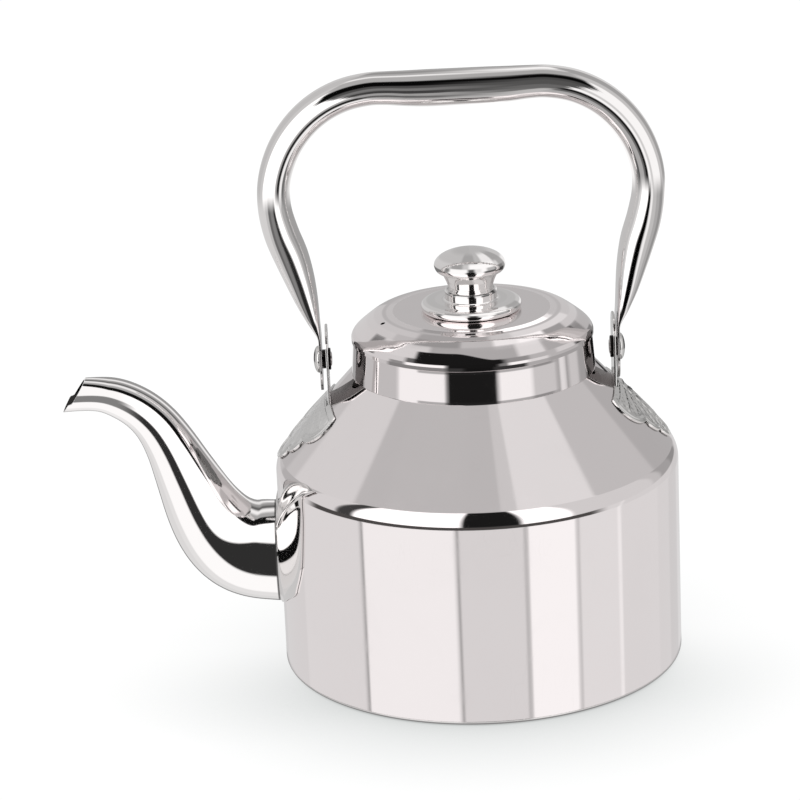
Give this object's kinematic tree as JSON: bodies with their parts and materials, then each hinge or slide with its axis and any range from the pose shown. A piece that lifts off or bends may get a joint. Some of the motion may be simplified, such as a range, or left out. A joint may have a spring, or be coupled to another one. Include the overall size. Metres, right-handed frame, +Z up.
{
  "type": "gooseneck kettle",
  "caption": "Sheet-metal kettle with a straight-walled body, conical shoulder, S-curved spout, swinging bail handle on riveted ears, and a lift-off lid with a turned knob.",
  "frame": {"origin": "centre of the base on the table", "axes": "+Z up; the spout points along -X; the bail handle stands in the XZ plane and its pivot axis is parallel to X"},
  "size_m": [0.258, 0.17, 0.2542],
  "materials": {
    "polished_body": "mirror-polished sheet steel",
    "brushed_base": "circular-brushed steel",
    "polished_spout": "mirror-polished sheet steel",
    "stamped_ear": "stamped and polished steel",
    "polished_handle": "polished tube steel",
    "rivet_steel": "polished rivet head",
    "dark_washer": "dark washer steel",
    "polished_lid": "mirror-polished sheet steel",
    "polished_knob": "mirror-polished sheet steel",
    "plain_steel": "plain steel"
  },
  "bodies": {
    "kettle": {"body_shell": "polished_body", "base_plate": "brushed_base", "neck_collar": "polished_body", "spout_half_near": "polished_spout", "spout_half_far": "polished_spout", "spout_flange": "polished_spout", "front_ear": "stamped_ear", "rear_ear": "stamped_ear", "front_pivot_rivet": "rivet_steel", "rear_pivot_rivet": "rivet_steel", "front_spacer_washer": "dark_washer", "rear_spacer_washer": "dark_washer", "front_backing_washer": "dark_washer", "rear_backing_washer": "dark_washer"},
    "handle": {"handle_bail": "polished_handle"},
    "lid": {"lid_shell": "polished_lid", "lid_plug_ring": "polished_lid", "knob_base": "polished_knob", "knob_stem": "polished_knob", "knob_cap": "polished_knob", "knob_stud": "plain_steel", "lid_washer": "plain_steel", "lid_nut": "plain_steel"}
  },
  "joints": [
    {"name": "bail_swing", "type": "hinge", "parent": "kettle", "child": "handle", "pos_m": [0, 0, 0.1325], "axis": [1, 0, 0], "range_deg": [-108, 108]},
    {"name": "lid_lift", "type": "slide", "parent": "kettle", "child": "lid", "axis": [0, 0, 1], "range_m": [0, 0.055]}
  ]
}
